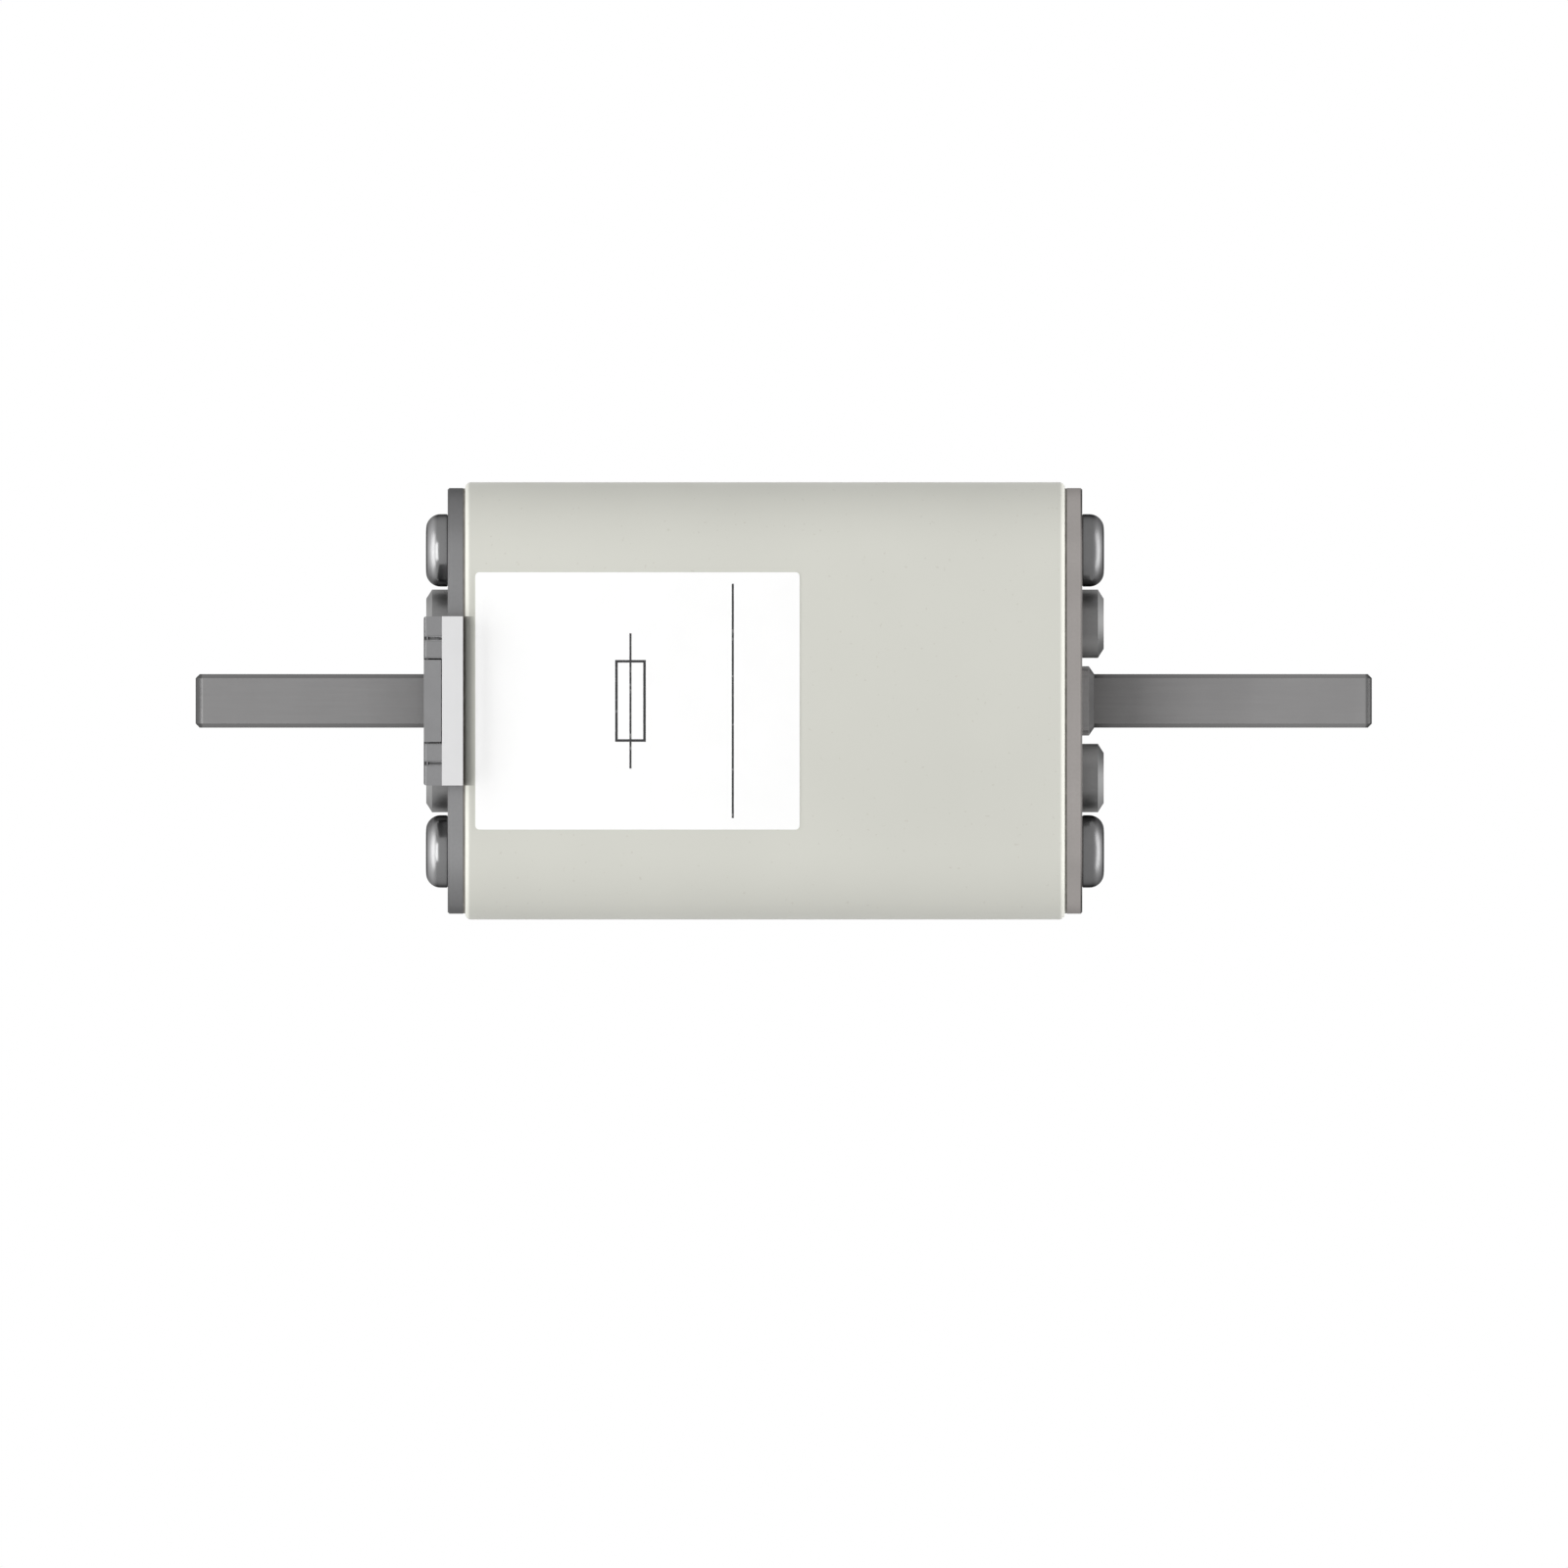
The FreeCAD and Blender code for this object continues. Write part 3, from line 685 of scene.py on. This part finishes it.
def label_marks(low, high):
    """Printed bars of the label: a fuse symbol that reads upwards, and a rule near its end."""
    middle = (low.z + high.z) / 2
    symbol, rule = low.x + 0.0188, low.x + 0.0312
    half_wide, half_tall, lead = 0.0017, 0.0048, 0.0082
    stroke, thin_stroke, rule_stroke, rule_half = 0.00016, 0.000128, 0.00013, 0.0142
    marks = [
        (symbol + side * half_wide, middle, stroke, half_tall + stroke) for side in (-1, 1)
    ]
    marks += [(symbol, middle + side * half_tall, half_wide, stroke) for side in (-1, 1)]
    marks.append((symbol, middle, thin_stroke, lead))
    marks.append((rule, middle, rule_stroke, rule_half))
    return marks


class FUSE_OT_screws(bpy.types.Operator):
    """Eight pan-head screws with a six-lobed recess"""

    bl_idname = "fuse.screws"
    bl_label = "Plate Screws"

    def execute(self, context):
        settings = context.scene.fuse_fasteners
        for name, side, tint, wear_and_highlight in (
            ("left", -1, settings.left_steel, 1.6),
            ("right", 1, settings.right_steel, 1.25),
        ):
            # Painted highlight on each head's rounded rim, and painted shade on faces turned up or
            # down
            steel = plated(
                "Steel of the %s screws" % name, tint, TURNED, (0.18, 0.24),
                bevels=(("X", wear_and_highlight, 0.22),), flank=(0.2, 0.3), relief=0.000001, edge=0.2,
            )
            node = name + "_plate_screws"
            low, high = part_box(node)
            top = low.x if side < 0 else high.x
            inset = settings.head_radius
            bm = bmesh.new()
            for y in (low.y + inset, high.y - inset):
                for z in (low.z + inset, high.z - inset):
                    add_screw(bm, settings, high.x - low.x, Vector((top, y, z)), side)
            finished_piece(name + "_pan_heads", bm, steel, node, weighted=False)
        return {"FINISHED"}


def add_screw(bm, settings, reach, top, side):
    """Adds one screw of a given length, whose head ends at top and faces outwards along X."""
    radius, shank = settings.head_radius, settings.shank_radius
    point_depth, point_radius = shank * 0.4, shank * 0.8
    mouth_spare, under_round = 0.0003, 0.00012
    underside, rim = -settings.head_height, -settings.head_crown
    mouth = settings.lobe_tip + mouth_spare
    points = [
        (-reach, 0), (-reach, point_radius), (-reach + point_depth, shank),
        (underside, shank), (underside, radius), (rim, radius), (0, mouth),
    ]
    verts = [bm.verts.new((x, r, 0)) for x, r in points]
    for pair in zip(verts, verts[1:]):
        bm.edges.new(pair)
    under_corner, head_corner = verts[4], verts[5]
    made, before = set(verts), set(bm.verts)
    round_off(bm, [head_corner], settings.head_round, segments=10, affect="VERTICES")
    round_off(bm, [under_corner], under_round, segments=1, affect="VERTICES")
    made = {v for v in made if v.is_valid} | (set(bm.verts) - before)
    lines = {e for v in made for e in v.link_edges}
    spun = bmesh.ops.spin(
        bm, geom=list(made) + list(lines), cent=(0, 0, 0), axis=(1, 0, 0), angle=FULL_TURN,
        steps=settings.turns, use_merge=True, use_duplicate=False,
    )
    screw = connected(made | {g for g in spun["geom_last"] if isinstance(g, bmesh.types.BMVert)})
    bmesh.ops.remove_doubles(bm, verts=list(screw), dist=MERGE_DISTANCE)
    screw = {v for v in screw if v.is_valid}
    mouth_loop = {e for v in screw for e in v.link_edges if len(e.link_faces) == 1}
    screw |= sink_recess(bm, list(mouth_loop), settings)
    place = Matrix.Translation(top) @ Matrix.Diagonal((side, 1, 1, 1))
    bmesh.ops.transform(bm, matrix=place, verts=list(screw))


def sink_recess(bm, rim, settings):
    """Sinks the six-lobed recess from the open rim of a head's top, and returns its vertices."""
    middle = (settings.lobe_tip + settings.lobe_waist) / 2
    swing = (settings.lobe_tip - settings.lobe_waist) / 2
    broken_edge, taper, floor_radius = 0.00008, 0.00003, 0.0006
    wall_depth, floor_depth = settings.recess_depth, settings.recess_depth * 1.15
    added = set()
    for sunk, spare in (
        (0.0, broken_edge), (broken_edge, 0.0), (wall_depth, -taper), (floor_depth, None)
    ):
        grown = bmesh.ops.extrude_edge_only(bm, edges=rim)["geom"]
        ring = [g for g in grown if isinstance(g, bmesh.types.BMVert)]
        edges = [g for g in grown if isinstance(g, bmesh.types.BMEdge)]
        rim = [e for e in edges if all(v in ring for v in e.verts)]
        for vert in ring:
            angle = math.atan2(vert.co.z, vert.co.y)
            lobes = middle + swing * math.cos(6 * angle)
            reach = floor_radius if spare is None else lobes + spare
            vert.co = (-sunk, reach * math.cos(angle), reach * math.sin(angle))
        added.update(ring)
    bmesh.ops.edgeloop_fill(bm, edges=rim)
    return added


class FUSE_OT_metal(bpy.types.Operator):
    """Finishes of the end plates, rivets and blades"""

    bl_idname = "fuse.metal"
    bl_label = "Plates, Rivets and Blades"

    def execute(self, context):
        settings = context.scene.fuse_metal
        plate_rough = (0.38, 0.46)
        # Both plates carry painted shade on their edge bevels and painted light and shade on faces
        # turned up or down; the left plate is a darker copy whose painted shade deepens towards
        # its top
        plate = plated(
            "Plated end plate", settings.plate, ROLLED_ALONG_Y, plate_rough,
            bevels=(("X", 0.25, 0.0),), flank=(0.6, 1.4),
        )
        shaded_plate = plated(
            "Shaded left end plate", settings.left_plate, ROLLED_ALONG_Y, plate_rough,
            bevels=(("X", 0.75, 0.0),), flank=(0.3, 0.15), marks=top_shade(settings.plate_top),
        )
        for name, tint in (
            ("left_rivets", settings.left_rivet), ("right_rivets", settings.right_rivet)
        ):
            # Rivets carry a painted highlight on their bevels and painted light on faces turned up
            # or down
            rivet = plated(
                "Metal of the " + name, tint, TURNED, (0.42, 0.48),
                bevels=(("X", 1.45, 0.0),), flank=(0.8, 1.9),
            )
            coat_nodes(rivet, name)
        coat_nodes(plate, "right_end_plate", "fill_plug")
        coat_nodes(shaded_plate, "left_end_plate")
        # Blades carry painted shade on their bevels, cut ends and beside their feet, and a painted
        # highlight on each foot's flare
        for name, side, tint, foot, root_shade, end in (
            ("left_blade", -1, settings.left_blade, settings.left_foot, 0.03, ("X", 1.0, 0.3)),
            ("right_blade", 1, settings.right_blade, settings.right_foot, 0.46, ("X", 0.5, 0.0)),
        ):
            tin = plated(
                "Tin plating of the " + name, tint, ROLLED_ALONG_X, (0.42, 0.50),
                bevels=(("Z", 0.85, 0.0), end),
                marks=blade_light_and_shade(side, foot, foot + settings.shade_reach, root_shade),
            )
            coat_nodes(tin, name)
        return {"FINISHED"}


class FUSE_OT_indicator(bpy.types.Operator):
    """Finishes of the trip indicator's base, bracket, flag and springs, and the flag's ribs"""

    bl_idname = "fuse.indicator"
    bl_label = "Trip Indicator"

    def execute(self, context):
        settings = context.scene.fuse_indicator
        sheet_low, sheet_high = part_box("indicator_bracket")
        low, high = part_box("indicator_flag")
        covered, lip_rear = sheet_high.x - 0.0001, low.y + 0.0008
        base = moulded("Moulded base", settings.base, covered)
        coat_nodes(base, "indicator_base")
        # The bracket carries painted shade on its bevels and painted light and shade in its slits
        bracket = plated(
            "Sheet bracket", settings.bracket, ROLLED_ALONG_Y, (0.4, 0.5),
            bevels=(("X", 0.4, 0.0),), marks=slit_light_and_shade(settings, sheet_low.x),
        )
        coat_nodes(bracket, "indicator_bracket")
        plastic = two_tone_flag(settings, lip_rear)
        coat_nodes(plastic, "indicator_flag")
        ribs = bmesh.new()
        for side in (-1, 1):
            add_lip_rib(ribs, settings, low, high, side)
        finished_piece("flag_lip_ribs", ribs, plastic, body="flag")
        spring = plated("Spring strip", (0.5, 0.5, 0.51), ROLLED_ALONG_Y, (0.2, 0.3))
        coat_nodes(spring, "indicator_springs")
        return {"FINISHED"}


def add_lip_rib(ribs, settings, low, high, side):
    """Adds the fine rib on one side of the flag's lip, with its outer edges rounded."""
    inner, outer = settings.lip_half, settings.lip_half + settings.rib_width
    edge_round = 0.00006
    rib = bar_mesh(
        Vector((low.x, low.y, inner)), Vector((high.x, low.y + settings.lip_depth, outer))
    )
    bmesh.ops.transform(rib, matrix=Matrix.Diagonal((1, 1, side, 1)), verts=rib.verts)
    round_off(rib, edges_in_plane(rib, 2, side * outer), edge_round, segments=3)
    part = bpy.data.meshes.new("rib")
    rib.to_mesh(part)
    rib.free()
    ribs.from_mesh(part)
    bpy.data.meshes.remove(part)


class FUSE_OT_inside(bpy.types.Operator):
    """Finishes of what lies inside: sand, silver elements, copper blocks, gaskets and wire"""

    bl_idname = "fuse.inside"
    bl_label = "Inner Parts"

    def execute(self, context):
        copper = plated("Bare copper", (0.72, 0.36, 0.22), SAWN_ALONG_Y, (0.3, 0.42))
        coat_nodes(copper, "left_contact_block", "right_contact_block")
        silver = plated("Silver strip", (0.85, 0.84, 0.82), ROLLED_ALONG_X, (0.18, 0.28))
        coat_nodes(silver, *[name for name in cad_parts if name.startswith("fuse_element_")])
        sand = granular(
            "Quartz sand", (0.75, 0.68, 0.55), (0.42, 0.36, 0.27), grain=0.0006, depth=0.0001
        )
        coat_nodes(sand, "quartz_sand")
        fibre = granular(
            "Pressed fibre", (0.30, 0.285, 0.26), (0.22, 0.21, 0.19), grain=0.0012, depth=0.00003
        )
        coat_nodes(fibre, "left_gasket", "right_gasket")
        coat_nodes(moulded("Insulating tube", (0.78, 0.74, 0.64)), "wire_sleeve", "wire_bushing")
        wire = plated("Trip wire", (0.55, 0.54, 0.5), ROLLED_ALONG_X, (0.25, 0.35))
        coat_nodes(wire, "trip_wire")
        return {"FINISHED"}


# Studio

# Each lamp's name, place, size, and whether it is mirrored in glossy surfaces
LAMPS = (
    ("Key", (-0.4575, -0.7045, -0.03), (0.3, 0.8), True),
    ("Left side", (-0.767, -0.342, 0.0), (0.35, 1.4), True),
    ("Right side", (0.822, -0.175, 0.0), (0.35, 1.4), True),
    ("Back", (-0.3, 0.75, 0.0), (1.0, 0.5), False),
)
CAMERA_DISTANCE = 0.8
FLOOR_HALF_WIDTH = 2.0

# The floor's own light in pictures grows from a near to a far strength between two distances
GLOW_FROM, GLOW_TO = 0.09, 0.2
GLOW_NEAR, GLOW_FAR = 0.42, 0.75


def area_lamp(name, place, size, mirrored, watts):
    """A soft oblong lamp that looks at the fuse, mirrored in glossy surfaces or not."""
    data = bpy.data.lights.new(name, "AREA")
    data.shape = "RECTANGLE"
    data.size, data.size_y = size
    data.energy = watts
    lamp = bpy.data.objects.new(name, data)
    lamp.location = place
    lamp.visible_glossy = mirrored
    lamp.rotation_euler = (-Vector(place)).to_track_quat("-Z", "Y").to_euler()
    bpy.context.scene.collection.objects.link(lamp)


def seen_mask(tree):
    """1 for camera, mirror and see-through rays, and 0 for those that light the object."""
    rays = tree.nodes.new("ShaderNodeLightPath")
    total = rays.outputs["Is Camera Ray"]
    for name in ("Is Glossy Ray", "Is Transmission Ray"):
        larger = tree.nodes.new("ShaderNodeMath")
        larger.operation = "MAXIMUM"
        tree.links.new(total, larger.inputs[0])
        tree.links.new(rays.outputs[name], larger.inputs[1])
        total = larger.outputs[0]
    return total


def white_room(strength):
    """Even light on the object, and a white background where it is looked at."""
    world = bpy.data.worlds.new("White room")
    world.use_nodes = True
    tree = world.node_tree
    tree.nodes.clear()
    choice = tree.nodes.new("ShaderNodeMixShader")
    tree.links.new(seen_mask(tree), choice.inputs["Fac"])
    for place, level in ((1, strength), (2, 1.0)):
        light = tree.nodes.new("ShaderNodeBackground")
        light.inputs["Color"].default_value = (1, 1, 1, 1)
        light.inputs["Strength"].default_value = level
        tree.links.new(light.outputs[0], choice.inputs[place])
    output = tree.nodes.new("ShaderNodeOutputWorld")
    tree.links.new(choice.outputs[0], output.inputs["Surface"])
    bpy.context.scene.world = world


def pale_floor(tint, height):
    """Plain floor under the fuse that keeps its shadow and fades to white away from it."""
    bm = bmesh.new()
    bmesh.ops.create_grid(
        bm, x_segments=8, y_segments=8, size=FLOOR_HALF_WIDTH,
        matrix=Matrix.Translation((0, 0, height)),
    )
    mesh = bpy.data.meshes.new("floor")
    bm.to_mesh(mesh)
    bm.free()
    finish = Finish("Pale floor", specular=0.1)
    shader = finish.shader
    shader.inputs["Base Color"].default_value = (*tint, 1.0)
    shader.inputs["Roughness"].default_value = 0.8
    shader.inputs["Emission Color"].default_value = (1, 1, 1, 1)
    away = finish.node("ShaderNodeVectorMath", operation="LENGTH")
    finish.join(finish.coordinates.outputs["Object"], away.inputs[0])
    glow = finish.spread(away.outputs["Value"], GLOW_FROM, GLOW_TO, GLOW_NEAR, GLOW_FAR)
    finish.join(finish.times(seen_mask(finish.tree), glow), shader.inputs["Emission Strength"])
    mesh.materials.append(finish.material)
    floor = bpy.data.objects.new("floor", mesh)
    # Like the bed of a light tent, it shows shadows but lets the room's light through
    floor.visible_diffuse = False
    floor.visible_shadow = False
    floor.visible_glossy = False
    bpy.context.scene.collection.objects.link(floor)


class FUSE_OT_studio(bpy.types.Operator):
    """Camera at the side of the fuse, soft lamps, white room and pale floor"""

    bl_idname = "fuse.studio"
    bl_label = "Studio"

    def execute(self, context):
        settings = context.scene.fuse_studio
        context.scene.view_settings.view_transform = "Standard"
        data = bpy.data.cameras.new("Side view")
        data.type = "ORTHO"
        data.ortho_scale = settings.view_width
        data.clip_start, data.clip_end = 0.01, 20.0
        camera = bpy.data.objects.new("Side view", data)
        camera.location = (settings.view_x, -CAMERA_DISTANCE, settings.view_z)
        camera.rotation_euler = (QUARTER_TURN, 0, 0)
        context.scene.collection.objects.link(camera)
        context.scene.camera = camera
        powers = (settings.key, settings.left, settings.right, settings.back)
        for lamp, watts in zip(LAMPS, powers):
            area_lamp(*lamp, watts)
        white_room(settings.sky)
        pale_floor(tuple(settings.floor), cad_box[0].z)
        return {"FINISHED"}


# Add-on


class FUSE_PT_panel(bpy.types.Panel):
    """Lists the pieces of the fuse"""

    bl_idname = "FUSE_PT_panel"
    bl_label = "Power Fuse"
    bl_space_type = "VIEW_3D"
    bl_region_type = "UI"
    bl_category = "Power Fuse"

    def draw(self, context):
        for operator in OPERATORS:
            self.layout.operator(operator.bl_idname)


SETTINGS = {
    "fuse_ceramic": CeramicSettings,
    "fuse_fasteners": FastenerSettings,
    "fuse_metal": MetalSettings,
    "fuse_indicator": IndicatorSettings,
    "fuse_studio": StudioSettings,
}
OPERATORS = (
    FUSE_OT_ceramic,
    FUSE_OT_label,
    FUSE_OT_screws,
    FUSE_OT_metal,
    FUSE_OT_indicator,
    FUSE_OT_inside,
    FUSE_OT_studio,
)


def register():
    for name, group in SETTINGS.items():
        bpy.utils.register_class(group)
        setattr(bpy.types.Scene, name, PointerProperty(type=group))
    for operator in OPERATORS:
        bpy.utils.register_class(operator)
    bpy.utils.register_class(FUSE_PT_panel)


def unregister():
    bpy.utils.unregister_class(FUSE_PT_panel)
    for operator in reversed(OPERATORS):
        bpy.utils.unregister_class(operator)
    for name, group in reversed(SETTINGS.items()):
        delattr(bpy.types.Scene, name)
        bpy.utils.unregister_class(group)


def main():
    register()
    bpy.ops.fuse.ceramic()
    bpy.ops.fuse.label()
    bpy.ops.fuse.screws()
    bpy.ops.fuse.metal()
    bpy.ops.fuse.indicator()
    bpy.ops.fuse.inside()
    bpy.ops.fuse.studio()


if __name__ == "__main__":
    main()
